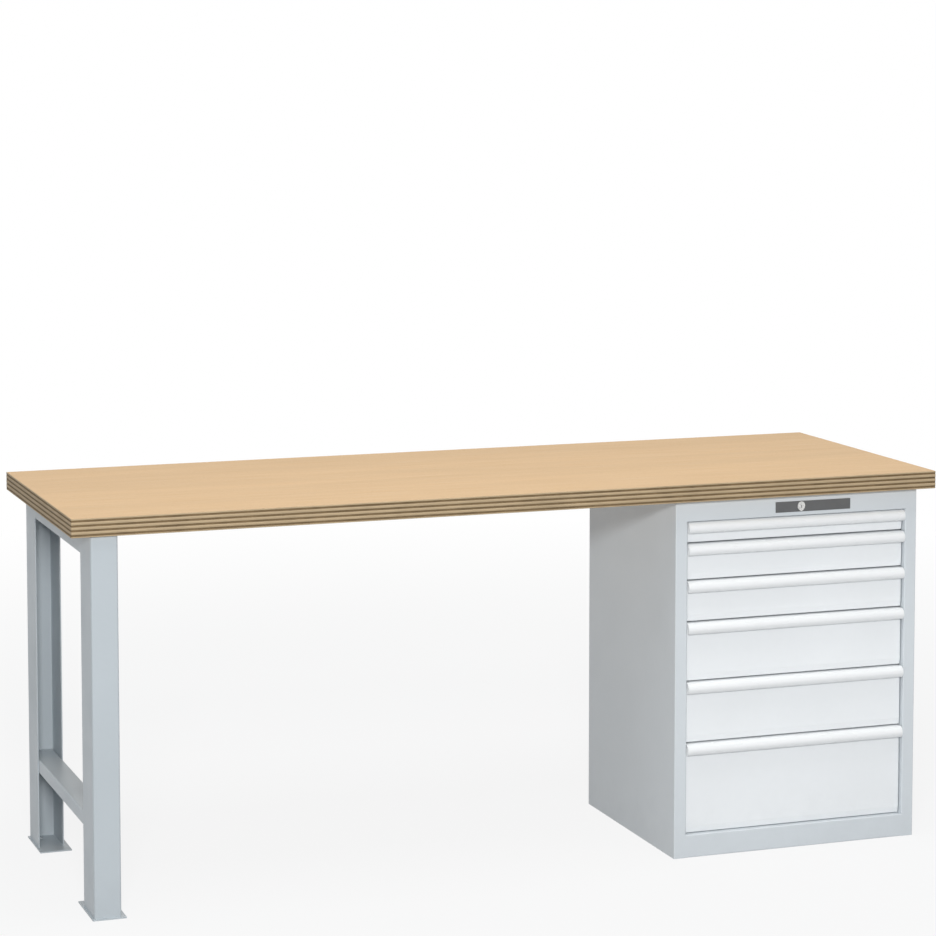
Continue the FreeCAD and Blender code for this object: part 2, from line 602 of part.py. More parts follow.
def drawer_catch(floor):
    """Tab on the tray's right side that a lowered lock finger stops."""
    z0 = floor + CATCH_RISE
    return block(CAB_RIGHT - TRAY_SIDE, CAB_RIGHT - CATCH_OUTER_EDGE,
                 CATCH_FRONT, CATCH_FRONT + CATCH_THICKNESS, z0, z0 + CATCH_HEIGHT)


def drawer_tray(floor, height):
    """Open box welded from its floor, front and back sheets and two sides with folded rims."""
    x0 = inward(TRAY_SIDE)
    x1 = CAB_RIGHT - TRAY_SIDE
    y0 = TRAY_FRONT + SHEET
    y1 = TRAY_BACK - SHEET
    z0 = floor + TRAY_FLOOR_RISE
    rim = floor + height - TRAY_RIM_DROP
    path = [(x0 + SHEET + TRAY_RIM_FOLD, rim), (x0, rim), (x0, z0)]
    side = along_y(folded_face(path, SHEET, BEND_INSIDE, on_xz), y0, y1)
    front = block(x0, x1, TRAY_FRONT, y0, z0, rim)
    back = block(x0, x1, y1, TRAY_BACK, z0, rim)
    bottom = block(x0 + SHEET, x1 - SHEET, y0, y1, z0, z0 + SHEET)
    return Part.makeCompound(both_sides([side]) + [front, back, bottom])


def nose_point(middle_y, middle_z, radius, angle):
    """Point of the handle's nose; angle 0 is straight ahead and 90 is up."""
    a = math.radians(angle)
    return on_yz(middle_y - radius * math.cos(a), middle_z + radius * math.sin(a))


def nose_sector(middle_y, middle_z, inner, outer, low, high):
    """Band of the nose between two radii and two angles, as a face."""
    def point(radius, angle):
        return nose_point(middle_y, middle_z, radius, angle)
    mid = (low + high) / 2
    edges = [
        Part.Arc(point(outer, high), point(outer, mid), point(outer, low)).toShape(),
        Part.LineSegment(point(outer, low), point(inner, low)).toShape(),
        Part.Arc(point(inner, low), point(inner, mid), point(inner, high)).toShape(),
        Part.LineSegment(point(inner, high), point(outer, high)).toShape(),
    ]
    return Part.Face(Part.Wire(edges))


def handle_nose(floor, height):
    """Centre and radius of a handle's round nose."""
    radius = HANDLE_HEIGHT / 2
    top = floor + height - FRONT_GAP / 2
    return FRONT_FACE - HANDLE_REACH + radius, top - radius, radius


def drawer_handle(floor, height):
    """Hooked profile over the whole front: back wall, top and a round nose open to the fingers from below."""
    y, z, radius = handle_nose(floor, height)
    x0 = OPENING_LEFT + FRONT_SIDE_GAP
    x1 = OPENING_RIGHT - FRONT_SIDE_GAP
    nose = along_x(nose_sector(y, z, radius - HANDLE_WALL, radius, -HANDLE_LIP_ANGLE, 90), x0, x1)
    top = block(x0, x1, y, FRONT_FACE, z + radius - HANDLE_WALL, z + radius)
    back = block(x0, x1, FRONT_FACE - HANDLE_BACK_WALL, FRONT_FACE, z - radius, z + radius)
    return nose.fuse([top, back]).removeSplitter()


# ---------------------------------------------------------------- central lock
def lock_housing_radius():
    return LOCK_PLUG_RADIUS + LOCK_RUNNING_CLEARANCE + LOCK_HOUSING_WALL


def lock_strip():
    x0 = CAB_LEFT + STRIP_LEFT
    z0 = OPENING_TOP + STRIP_RISE
    strip = block(x0, x0 + STRIP_LENGTH, CAB_FRONT - STRIP_THICKNESS, CAB_FRONT, z0, z0 + STRIP_HEIGHT)
    return strip.cut(lock_bore(lock_housing_radius()))


def lock_escutcheon():
    """Rounded shield in front of the strip, a half circle above and a pointed arch below."""
    half = ESCUTCHEON_WIDTH / 2
    middle = LOCK_Z + (ESCUTCHEON_HEIGHT / 2 - half)
    tip = middle - (ESCUTCHEON_HEIGHT - half)
    left = on_xz(LOCK_X - half, middle)
    right = on_xz(LOCK_X + half, middle)
    foot = on_xz(LOCK_X, tip)
    bulge = half * ESCUTCHEON_WAIST
    low = middle - (middle - tip) * ESCUTCHEON_WAIST_DROP
    edges = [
        Part.Arc(left, on_xz(LOCK_X, middle + half), right).toShape(),
        Part.Arc(right, on_xz(LOCK_X + bulge, low), foot).toShape(),
        Part.Arc(foot, on_xz(LOCK_X - bulge, low), left).toShape(),
    ]
    face = Part.Face(Part.Wire(edges))
    back = CAB_FRONT - STRIP_THICKNESS
    shield = along_y(face, back - ESCUTCHEON_THICKNESS, back)
    return shield.cut(lock_bore(LOCK_PLUG_RADIUS + LOCK_RUNNING_CLEARANCE))


def lock_housing():
    """Barrel shell fixed in the top rail."""
    start = Vector(LOCK_X, CAB_FRONT - STRIP_THICKNESS, LOCK_Z)
    end = start + Y_AXIS * LOCK_HOUSING_LENGTH
    return rod(lock_housing_radius(), start, end).cut(rod(LOCK_PLUG_RADIUS + LOCK_RUNNING_CLEARANCE, start, end))


def lock_plug():
    """Turning core with its key slot."""
    face = CAB_FRONT - LOCK_FACE_PROUD
    core = rod(LOCK_PLUG_RADIUS, Vector(LOCK_X, face, LOCK_Z), Vector(LOCK_X, CAM_FRONT, LOCK_Z))
    slot = block(LOCK_X - KEY_SLOT_WIDTH / 2, LOCK_X + KEY_SLOT_WIDTH / 2, face, face + KEY_SLOT_DEPTH,
                 LOCK_Z - KEY_SLOT_LENGTH / 2, LOCK_Z + KEY_SLOT_LENGTH / 2)
    return core.cut(slot)


def cam_pin_place():
    """Cam pin at rest."""
    a = math.radians(CAM_REST_ANGLE)
    return LOCK_X - CAM_PIN_REACH * math.sin(a), LOCK_Z + CAM_PIN_REACH * math.cos(a)


def lock_cam():
    """Plate on the end of the plug, with the pin that drives the crossbar."""
    x, z = cam_pin_place()
    radius = CAM_PIN_RADIUS + GUIDE_WALL
    plate = along_y(slot_face((LOCK_X, LOCK_Z), (x, z), radius), CAM_FRONT, CAM_FRONT + CAM_THICKNESS)
    pin = rod(CAM_PIN_RADIUS, Vector(x, CAM_FRONT + CAM_THICKNESS, z),
              Vector(x, CROSSBAR_FRONT + LINK_THICKNESS, z))
    return plate.fuse(pin).removeSplitter()


def crossbar_pin_place():
    """Pin at the crossbar's right end at rest, in the foot of the lock bar's slanted slot."""
    middle = (BAR_LEFT + BAR_RIGHT) / 2
    return middle - CROSSBAR_TRAVEL, CROSSBAR_Z


def lock_crossbar():
    """Flat bar that the cam pushes to the right."""
    pin_x, pin_z = cam_pin_place()
    end_x, end_z = crossbar_pin_place()
    x0 = pin_x - CAM_PIN_RADIUS - CROSSBAR_LEFT_MARGIN
    x1 = end_x + CAM_PIN_RADIUS + CROSSBAR_RIGHT_MARGIN
    back = CROSSBAR_FRONT + LINK_THICKNESS
    bar = block(x0, x1, CROSSBAR_FRONT, back, CROSSBAR_Z - CROSSBAR_HEIGHT / 2, CROSSBAR_Z + CROSSBAR_HEIGHT / 2)
    low = min(pin_z, CROSSBAR_Z) - LINK_PLAY
    high = LOCK_Z + CAM_PIN_REACH + LINK_PLAY
    slot = along_y(slot_face((pin_x, low), (pin_x, high), CAM_PIN_RADIUS + LINK_PLAY), CROSSBAR_FRONT, back)
    pin = rod(CAM_PIN_RADIUS, Vector(end_x, BAR_FRONT, end_z), Vector(end_x, CROSSBAR_FRONT, end_z))
    return bar.cut(slot).fuse(pin).removeSplitter()


def lock_bar():
    """Upright bar whose fingers drop in front of the drawers' catches."""
    pin_x, pin_z = crossbar_pin_place()
    back = BAR_FRONT + LINK_THICKNESS
    slot_radius = CAM_PIN_RADIUS + LINK_PLAY
    reach = slot_radius + LOCK_HEAD_MARGIN
    head = block(pin_x - reach, BAR_RIGHT + LOCK_HEAD_RIGHT_MARGIN, BAR_FRONT, back,
                 pin_z - reach, pin_z + LOCK_BAR_DROP + reach)
    foot = floor_lines()[-1] + CATCH_RISE
    strip = block(BAR_LEFT, BAR_RIGHT, BAR_FRONT, back, foot, pin_z)
    fingers = []
    for floor in floor_lines():
        z0 = floor + CATCH_RISE + CATCH_HEIGHT + FINGER_OVER_CATCH
        fingers.append(block(CAB_RIGHT - FINGER_INNER_EDGE, BAR_LEFT, BAR_FRONT, back, z0, z0 + FINGER_HEIGHT))
    slot = along_y(slot_face((pin_x, pin_z), (pin_x + CROSSBAR_TRAVEL, pin_z + LOCK_BAR_DROP), slot_radius),
                   BAR_FRONT, back)
    return strip.fuse([head] + fingers).removeSplitter().cut(slot)


def lock_bar_guides():
    """Loops fixed to the side wall that the lock bar slides in, and one under the top for the crossbar."""
    loops = []
    lines = floor_lines()
    bottom = lines[-1] + CATCH_RISE + CATCH_HEIGHT + FINGER_OVER_CATCH + FINGER_HEIGHT
    top = lines[0] + RUNNER_AXIS_RISE
    for z in even_places(bottom + 2 * LOCK_BAR_DROP, top, GUIDE_COUNT):
        outer = block(BAR_LEFT - LINK_PLAY - GUIDE_WALL, CAB_RIGHT - SHEET,
                      BAR_FRONT - LINK_PLAY - GUIDE_WALL, BAR_FRONT + LINK_THICKNESS + LINK_PLAY + GUIDE_WALL,
                      z - GUIDE_HEIGHT / 2, z + GUIDE_HEIGHT / 2)
        way = block(BAR_LEFT - LINK_PLAY, BAR_RIGHT + LINK_PLAY,
                    BAR_FRONT - LINK_PLAY, BAR_FRONT + LINK_THICKNESS + LINK_PLAY,
                    z - GUIDE_HEIGHT / 2, z + GUIDE_HEIGHT / 2)
        loops.append(outer.cut(way))
    pin_x = cam_pin_place()[0]
    x = (pin_x + crossbar_pin_place()[0]) / 2
    low = CROSSBAR_Z - CROSSBAR_HEIGHT / 2 - LINK_PLAY
    high = CROSSBAR_Z + CROSSBAR_HEIGHT / 2 + LINK_PLAY
    front = CROSSBAR_FRONT - LINK_PLAY
    back = CROSSBAR_FRONT + LINK_THICKNESS + LINK_PLAY
    hanger = block(x - GUIDE_HEIGHT / 2, x + GUIDE_HEIGHT / 2, front - GUIDE_WALL, back + GUIDE_WALL,
                   low - GUIDE_WALL, CABINET_HEIGHT - SHEET)
    way = block(x - GUIDE_HEIGHT / 2, x + GUIDE_HEIGHT / 2, front, back, low, high)
    loops.append(hanger.cut(way))
    return Part.makeCompound(loops)


# ---------------------------------------------------------------- the whole bench
def pieces():
    """Every node's name and shape."""
    left_side = cabinet_side_left()
    yield "worktop", worktop()
    yield "worktop_screws", worktop_screws()
    yield "leg_post_front", leg_post(back=False)
    yield "leg_post_rear", leg_post(back=True)
    yield "leg_top_beam", leg_top_beam()
    yield "leg_stretcher", leg_stretcher()
    yield "leg_foot_plates", leg_foot_plates()
    yield "cabinet_side_left", left_side
    yield "cabinet_side_right", mirrored_in_cabinet(left_side)
    yield "cabinet_back", cabinet_back()
    yield "cabinet_top", cabinet_top()
    yield "cabinet_base", cabinet_base()
    yield "front_top_rail", front_top_rail()
    yield "front_bottom_rail", front_bottom_rail()
    yield "cabinet_rails", cabinet_rails()
    yield "cabinet_rollers", cabinet_rollers()
    yield "lock_strip", lock_strip()
    yield "lock_escutcheon", lock_escutcheon()
    yield "lock_housing", lock_housing()
    yield "lock_plug", lock_plug()
    yield "lock_cam", lock_cam()
    yield "lock_crossbar", lock_crossbar()
    yield "lock_bar", lock_bar()
    yield "lock_bar_guides", lock_bar_guides()
    for number, (floor, height) in enumerate(zip(floor_lines(), DRAWER_HEIGHTS), start=1):
        axis_z = floor + RUNNER_AXIS_RISE
        yield f"drawer_{number}_front", drawer_front(floor, height)
        yield f"drawer_{number}_handle", drawer_handle(floor, height)
        yield f"drawer_{number}_tray", drawer_tray(floor, height)
        yield f"drawer_{number}_catch", drawer_catch(floor)
        yield f"drawer_{number}_rails", Part.makeCompound(both_sides(drawer_rail(axis_z)))
        yield f"drawer_{number}_mid_rails", Part.makeCompound(both_sides(mid_rail(axis_z)))


def main():
    os.makedirs("parts", exist_ok=True)
    for name, shape in pieces():
        if not shape.isValid():
            raise ValueError(f"{name} is not a valid shape")
        shape.exportStep(f"parts/{name}.step")


main()
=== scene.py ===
"""Finishes, light and camera for a workbench with a drawer cabinet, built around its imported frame."""
import math

import bmesh
import bpy
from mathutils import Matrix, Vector, noise


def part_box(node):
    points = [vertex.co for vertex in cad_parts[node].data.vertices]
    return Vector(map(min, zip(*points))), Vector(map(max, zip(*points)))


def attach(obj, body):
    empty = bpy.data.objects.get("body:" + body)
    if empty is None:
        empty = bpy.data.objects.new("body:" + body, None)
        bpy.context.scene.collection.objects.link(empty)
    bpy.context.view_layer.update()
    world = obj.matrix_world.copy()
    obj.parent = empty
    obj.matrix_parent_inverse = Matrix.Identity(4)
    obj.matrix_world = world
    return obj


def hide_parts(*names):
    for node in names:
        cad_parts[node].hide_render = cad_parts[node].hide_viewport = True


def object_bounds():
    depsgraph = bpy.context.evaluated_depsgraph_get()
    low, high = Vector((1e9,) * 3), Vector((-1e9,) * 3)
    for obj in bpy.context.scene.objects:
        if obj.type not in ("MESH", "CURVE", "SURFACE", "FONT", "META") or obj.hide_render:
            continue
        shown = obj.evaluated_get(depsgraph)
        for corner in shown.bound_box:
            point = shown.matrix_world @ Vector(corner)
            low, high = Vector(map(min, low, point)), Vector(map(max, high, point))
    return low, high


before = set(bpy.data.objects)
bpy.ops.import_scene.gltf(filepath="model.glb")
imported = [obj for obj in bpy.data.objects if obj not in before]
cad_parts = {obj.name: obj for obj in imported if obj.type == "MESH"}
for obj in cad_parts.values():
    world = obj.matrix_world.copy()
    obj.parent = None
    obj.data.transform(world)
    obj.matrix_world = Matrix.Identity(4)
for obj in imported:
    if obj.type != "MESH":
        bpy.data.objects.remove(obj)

bl_info = {
    "name": "Workbench finishes",
    "version": (1, 0, 0),
    "blender": (4, 5, 0),
    "location": "3D View > Sidebar > Workbench",
    "description": "Board, paint, runners, lock and stage of a workbench with drawers",
    "category": "Object",
}

FRAME_BOX = [list(corner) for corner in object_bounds()]
BOARD_LOW, BOARD_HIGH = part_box("worktop")
DRAWERS = range(1, 7)

LEG_NODES = ["leg_post_front", "leg_post_rear", "leg_top_beam", "leg_stretcher", "leg_foot_plates"]
HOUSING_NODES = ["cabinet_side_left", "cabinet_side_right", "cabinet_back", "cabinet_top", "cabinet_base",
                 "front_top_rail", "front_bottom_rail"]
ZINC_NODES = ["worktop_screws", "cabinet_rails", "lock_cam", "lock_crossbar", "lock_bar", "lock_bar_guides"]
LOCK_NODES = ["lock_escutcheon", "lock_housing", "lock_plug"]


def linear(red, green, blue):
    """Scene colour of a display colour given in 0 to 255."""
    def channel(value):
        share = value / 255
        return share / 12.92 if share <= 0.04045 else ((share + 0.055) / 1.055) ** 2.4
    return (channel(red), channel(green), channel(blue))


def scaled(color, factor):
    """Colour made lighter or darker."""
    return tuple(min(1.0, channel * factor) for channel in color)


# ---------------------------------------------------------------- settings
def color_setting(name, description, default):
    return bpy.props.FloatVectorProperty(name=name, description=description, default=default, size=3,
                                         subtype="COLOR", min=0.0, max=1.0)


def length_setting(name, description, default):
    return bpy.props.FloatProperty(name=name, description=description, default=default, min=0.0, unit="LENGTH")


def factor_setting(name, description, default):
    return bpy.props.FloatProperty(name=name, description=description, default=default, min=0.0, max=1.0,
                                   subtype="FACTOR")


class WorkbenchBoardSettings(bpy.types.PropertyGroup):
    face_color: color_setting("Face", "Oiled beech face veneer", linear(224, 190, 146))
    pale_ply_color: color_setting("Pale plies", "Plies cut along their grain", linear(188, 166, 133))
    dark_ply_color: color_setting("Dark plies", "Plies cut across their grain", linear(122, 102, 74))
    dark_ply: length_setting("Dark ply", "Thickness of each dark ply", 0.0044)
    pale_ply: length_setting("Pale ply", "Thickness of each inner pale ply", 0.0056)
    face_ply: length_setting("Face ply", "Thickness of the upper face ply", 0.0032)
    edge_round: length_setting("Edge round", "Radius along the board's upper and lower edges", 0.0012)
    relief: length_setting("Relief", "How far the dark plies lie behind the pale ones", 0.00025)


class WorkbenchPaintSettings(bpy.types.PropertyGroup):
    paint_color: color_setting("Cabinet", "Light grey coat of the cabinet", linear(214, 220, 224))
    # The leg frame's grey is darker than the cabinet's: partly its own colour, partly painted shade.
    leg_color_with_painted_shade: color_setting("Leg frame", "Light grey coat of the leg frame", linear(190, 198, 203))
    # The fronts' grey is lighter than the cabinet's: partly their own colour, partly a painted highlight.
    front_color_with_painted_highlight: color_setting("Fronts", "Coat of the drawer fronts", linear(240, 243, 245))
    handle_color: color_setting("Handles", "Satin handle profile", linear(243, 245, 246))
    texture: length_setting("Texture", "Width of one dimple in the coat", 0.0012)
    roughness: factor_setting("Roughness", "Roughness of the coat", 0.38)
    flake: factor_setting("Flake", "Share of metal flake in the coat", 0.12)


class WorkbenchMetalSettings(bpy.types.PropertyGroup):
    zinc_color: color_setting("Zinc", "Plated steel of runners, bars and screws", linear(196, 200, 203))
    nickel_color: color_setting("Nickel", "Lock and escutcheon", linear(214, 214, 212))
    strip_color: color_setting("Strip", "Dark strip round the lock", linear(99, 100, 101))
    roller_color: color_setting("Rollers", "Moulded rollers", linear(222, 220, 212))


class WorkbenchStageSettings(bpy.types.PropertyGroup):
    floor_color: color_setting("Floor", "Pale studio floor", linear(190, 191, 193))
    key_power: bpy.props.FloatProperty(name="Key", description="Power of the key light", default=80.0, unit="POWER")
    front_power: bpy.props.FloatProperty(name="Front", description="Power of the front light", default=218.0,
                                         unit="POWER")
    sheen_power: bpy.props.FloatProperty(name="Sheen", description="Power of the strip light beside the cabinet",
                                         default=0.6, unit="POWER")
    fill: factor_setting("Fill", "Strength of the even light from all round", 0.36)
    lens: bpy.props.FloatProperty(name="Lens", description="Focal length", default=112.81, subtype="DISTANCE_CAMERA")


SETTINGS = {
    "workbench_board": WorkbenchBoardSettings,
    "workbench_paint": WorkbenchPaintSettings,
    "workbench_metal": WorkbenchMetalSettings,
    "workbench_stage": WorkbenchStageSettings,
}


# ---------------------------------------------------------------- node trees
class Shade:
    """A material's node tree with short calls for the nodes that the finishes share."""

    def __init__(self, name):
        self.material = bpy.data.materials.new(name)
        self.material.use_nodes = True
        self.tree = self.material.node_tree
        self.tree.nodes.clear()
        self.output = self.tree.nodes.new("ShaderNodeOutputMaterial")
        self.place = self.tree.nodes.new("ShaderNodeTexCoord").outputs["Object"]

    def node(self, kind, settings=(), **inputs):
        made = self.tree.nodes.new(kind)
        for key, value in dict(settings).items():
            setattr(made, key, value)
        for key, value in inputs.items():
            self.set(made.inputs[key.replace("_", " ")], value)
        return made

    def set(self, socket, value):
        if isinstance(value, bpy.types.NodeSocket):
            self.tree.links.new(value, socket)
        elif socket.type == "RGBA" and len(value) == 3:
            socket.default_value = (*value, 1.0)
        else:
            socket.default_value = value

    def stretched(self, x, y, z):
        """Coordinates with a scale of their own along each axis."""
        return self.node("ShaderNodeMapping", Vector=self.place, Scale=(x, y, z)).outputs["Vector"]

    def grain(self, scale, detail=3.0, vector=None, distortion=0.0):
        made = self.node("ShaderNodeTexNoise", Vector=vector or self.place, Scale=scale, Detail=detail,
                         Roughness=0.55, Distortion=distortion)
        return made.outputs["Fac"]

    def remap(self, value, low, high, from_low=0.3, from_high=0.7):
        made = self.node("ShaderNodeMapRange", Value=value)
        for key, number in {"From Min": from_low, "From Max": from_high, "To Min": low, "To Max": high}.items():
            made.inputs[key].default_value = number
        return made.outputs["Result"]

    def blend(self, share, first, second, mode="MIX"):
        made = self.tree.nodes.new("ShaderNodeMix")
        made.data_type = "RGBA"
        made.blend_type = mode
        self.set(made.inputs[0], share)
        self.set(made.inputs[6], first)
        self.set(made.inputs[7], second)
        return made.outputs[2]

    def math(self, kind, first, second=0.0):
        made = self.tree.nodes.new("ShaderNodeMath")
        made.operation = kind
        self.set(made.inputs[0], first)
        self.set(made.inputs[1], second)
        return made.outputs[0]

    def axis(self, name):
        return self.node("ShaderNodeSeparateXYZ", Vector=self.place).outputs[name]

    def seen_directly(self):
        """1 for what the camera, a reflection or glass sees, and 0 for soft light."""
        path = self.node("ShaderNodeLightPath").outputs
        seen = self.math("ADD", path["Is Camera Ray"], path["Is Glossy Ray"])
        return self.math("MINIMUM", self.math("ADD", seen, path["Is Transmission Ray"]), 1.0)

    def bump(self, height, distance, strength=1.0, under=None):
        made = self.node("ShaderNodeBump", Height=height, Distance=distance, Strength=strength)
        if under:
            self.set(made.inputs["Normal"], under)
        return made.outputs["Normal"]

    def surface(self, base, roughness, normal, **constants):
        shader = self.node("ShaderNodeBsdfPrincipled")
        self.set(shader.inputs["Base Color"], base)
        self.set(shader.inputs["Roughness"], roughness)
        self.set(shader.inputs["Normal"], normal)
        for key, value in constants.items():
            self.set(shader.inputs[key.replace("_", " ")], value)
        self.tree.links.new(shader.outputs["BSDF"], self.output.inputs["Surface"])
        return self.material


# ---------------------------------------------------------------- finishes
def powder_coat(name, color, settings):
    """Satin coat with fine dimples, slight tone drift and a little dust low down."""
    s = Shade(name)
    drift = s.remap(s.grain(2.2, 2.0), 0.0, 1.0)
    mottle = s.remap(s.grain(65.0, 4.0), 0.0, 1.0)
    base = s.blend(drift, scaled(color, 0.955), color)
    base = s.blend(s.math("MULTIPLY", mottle, 0.10), base, scaled(color, 0.90))
    height = s.axis("Z")
    dust = s.remap(s.math("ADD", height, s.remap(s.grain(24.0, 4.0), -0.05, 0.05)), 0.10, 0.0, 0.0, 0.10)
    base = s.blend(dust, base, scaled(color, 0.72))
    dimples = s.grain(1.0 / settings.texture, 2.0)
    waves = s.grain(38.0, 2.0)
    roughness = s.remap(s.grain(11.0, 5.0), settings.roughness - 0.05, settings.roughness + 0.06)
    normal = s.bump(waves, 0.0004, 0.25)
    normal = s.bump(dimples, 0.00006, 0.5, normal)
    return s.surface(base, roughness, normal, Metallic=settings.flake, Specular_IOR_Level=0.25)


def satin_handle(name, color, settings):
    """Drawn profile with faint lines along its length."""
    s = Shade(name)
    lines = s.grain(1.0, 3.0, s.stretched(6.0, 900.0, 900.0))
    tone = s.remap(lines, 0.0, 1.0)
    base = s.blend(s.math("MULTIPLY", tone, 0.5), color, scaled(color, 0.93))
    rubbed = s.remap(s.grain(7.0, 3.0, s.stretched(1.0, 4.0, 4.0)), 0.24, 0.36)
    normal = s.bump(lines, 0.00003, 0.4)
    normal = s.bump(s.grain(1.0 / settings.texture, 2.0), 0.00003, 0.3, normal)
    return s.surface(base, rubbed, normal, Specular_IOR_Level=0.55)


def zinc_plate(name, color):
    """Plated steel with rolling lines, cloudy tone and uneven roughness."""
    s = Shade(name)
    clouds = s.remap(s.grain(34.0, 5.0, distortion=0.6), 0.0, 1.0)
    lines = s.grain(1.0, 3.0, s.stretched(1200.0, 18.0, 1200.0))
    base = s.blend(clouds, scaled(color, 0.80), color)
    base = s.blend(s.math("MULTIPLY", s.remap(lines, 0.0, 1.0), 0.35), base, scaled(color, 0.62))
    roughness = s.remap(s.grain(90.0, 4.0), 0.30, 0.48)
    normal = s.bump(lines, 0.00002, 0.5)
    return s.surface(base, roughness, normal, Metallic=0.9)


def satin_nickel(name, color):
    """Lock metal with fine turned lines and light handling marks."""
    s = Shade(name)
    lines = s.grain(1.0, 2.0, s.stretched(250.0, 250.0, 2600.0))
    base = s.blend(s.remap(lines, 0.0, 1.0), scaled(color, 0.86), color)
    roughness = s.remap(s.grain(420.0, 4.0), 0.20, 0.38)
    return s.surface(base, roughness, s.bump(lines, 0.00001, 0.5), Metallic=1.0)


def grained_plastic(name, color, grain_width, roughness):
    """Moulded or foil-faced plastic with a fine eroded grain."""
    s = Shade(name)
    pebbles = s.grain(1.0 / grain_width, 3.0)
    drift = s.remap(s.grain(30.0, 4.0), 0.0, 1.0)
    base = s.blend(drift, scaled(color, 0.90), scaled(color, 1.06))
    base = s.blend(s.math("MULTIPLY", s.remap(pebbles, 0.0, 1.0), 0.25), base, scaled(color, 0.82))
    rough = s.remap(pebbles, roughness - 0.08, roughness + 0.08)
    return s.surface(base, rough, s.bump(pebbles, 0.00008, 0.4), Specular_IOR_Level=0.4)


def beech_face(name, color):
    """Rotary-cut beech: soft figure along the board, short dark flecks and fine pores."""
    s = Shade(name)
    figure = s.grain(1.0, 4.0, s.stretched(0.9, 9.0, 9.0), 0.8)
    streaks = s.grain(1.0, 5.0, s.stretched(5.0, 260.0, 260.0))
    flecks = s.grain(1.0, 2.0, s.stretched(90.0, 900.0, 900.0))
    pores = s.grain(1.0, 2.0, s.stretched(160.0, 2400.0, 2400.0))
    base = s.blend(s.remap(figure, 0.0, 1.0), scaled(color, 0.93), scaled(color, 1.03))
    base = s.blend(s.math("MULTIPLY", s.remap(streaks, 0.0, 1.0), 0.30), base, (*linear(203, 163, 116),))
    fleck_share = s.math("MULTIPLY", s.remap(flecks, 0.0, 1.0, 0.60, 0.72), 0.40)
    base = s.blend(fleck_share, base, linear(168, 122, 78))
    base = s.blend(s.math("MULTIPLY", s.remap(pores, 0.0, 1.0, 0.58, 0.70), 0.25), base, linear(140, 100, 64))
    roughness = s.remap(streaks, 0.50, 0.64)
    normal = s.bump(streaks, 0.00012, 0.35)
    normal = s.bump(flecks, 0.00006, 0.4, normal)
    return s.surface(base, roughness, normal, Specular_IOR_Level=0.3)


def pale_ply(name, color):
    """Ply edge cut along its grain: long streaks."""
    s = Shade(name)
    streaks = s.grain(1.0, 5.0, s.stretched(14.0, 14.0, 1300.0))
    blotches = s.remap(s.grain(16.0, 3.0), 0.0, 1.0)
    base = s.blend(blotches, scaled(color, 0.86), scaled(color, 1.08))
    base = s.blend(s.math("MULTIPLY", s.remap(streaks, 0.0, 1.0), 0.45), base, scaled(color, 0.66))
    return s.surface(base, s.remap(streaks, 0.55, 0.72), s.bump(streaks, 0.00012, 0.5), Specular_IOR_Level=0.3)


def dark_ply(name, color):
    """Ply edge cut across its grain: open pores and broken fibres."""
    s = Shade(name)
    pores = s.grain(1.0, 4.0, s.stretched(1100.0, 1100.0, 700.0))
    patches = s.remap(s.grain(1.0, 4.0, s.stretched(30.0, 30.0, 90.0)), 0.0, 1.0)
    base = s.blend(patches, scaled(color, 0.78), scaled(color, 1.30))
    base = s.blend(s.math("MULTIPLY", s.remap(pores, 0.0, 1.0, 0.45, 0.62), 0.55), base, scaled(color, 0.50))
    return s.surface(base, s.remap(pores, 0.66, 0.82), s.bump(pores, 0.00018, 0.6), Specular_IOR_Level=0.2)


def give(node, material):
    """Puts one material on a node of the frame."""
    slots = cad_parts[node].data.materials
    slots.clear()
    slots.append(material)


# ---------------------------------------------------------------- the board
def ring_corners(inset, corner, steps):
    """Points round the board at one level, with rounded upright corners."""
    low_x, low_y = BOARD_LOW.x + inset, BOARD_LOW.y + inset
    high_x, high_y = BOARD_HIGH.x - inset, BOARD_HIGH.y - inset
    centres = [(high_x - corner, high_y - corner, 0), (low_x + corner, high_y - corner, 90),
               (low_x + corner, low_y + corner, 180), (high_x - corner, low_y + corner, 270)]
    points = []
    for centre_x, centre_y, start in centres:
        for i in range(steps + 1):
            angle = math.radians(start + 90 * i / steps)
            points.append((centre_x + corner * math.cos(angle), centre_y + corner * math.sin(angle)))
    return points


def split_runs(points, step):
    """The same outline with its straight runs cut into short edges."""
    cut = []
    for here, after in zip(points, points[1:] + points[:1]):
        run = math.dist(here, after)
        parts = max(1, round(run / step))
        cut += [(here[0] + (after[0] - here[0]) * i / parts, here[1] + (after[1] - here[1]) * i / parts)
                for i in range(parts)]
    return cut


def ply_levels(settings):
    """Heights from the underside up at which a ply begins, with its finish: 0 face, 1 pale, 2 dark."""
    z = BOARD_HIGH.z - settings.face_ply
    bands = [(z, BOARD_HIGH.z, 1)]
    while True:
        bands.append((z - settings.dark_ply, z, 2))
        z -= settings.dark_ply
        if z - settings.pale_ply < BOARD_LOW.z:
            break
        bands.append((z - settings.pale_ply, z, 1))
        z -= settings.pale_ply
    if z > BOARD_LOW.z:
        bands.append((BOARD_LOW.z, z, 1))
    return bands[::-1]


def board_rings(settings):
    """(height, inset, finish of the band above) of every ring of the board, from below."""
    radius = settings.edge_round
    rings = []
    bands = ply_levels(settings)
    for step in range(4):
        angle = math.radians(90 * step / 4)
        rings.append((BOARD_LOW.z + radius * (1 - math.cos(angle)), radius * (1 - math.sin(angle)), bands[0][2]))
    for number, (low, high, finish) in enumerate(bands):
        inset = settings.relief if finish == 2 else 0.0
        foot = BOARD_LOW.z + radius if number == 0 else low + settings.relief / 2
        head = BOARD_HIGH.z - radius if number == len(bands) - 1 else high - settings.relief / 2
        rings.append((foot, inset, finish))
        rings.append(((foot + head) / 2, inset, finish))
        rings.append((head, inset, finish))
    for step in range(1, 5):
        angle = math.radians(90 * step / 4)
        rings.append((BOARD_HIGH.z - radius * (1 - math.sin(angle)), radius * (1 - math.cos(angle)), bands[-1][2]))
    return rings


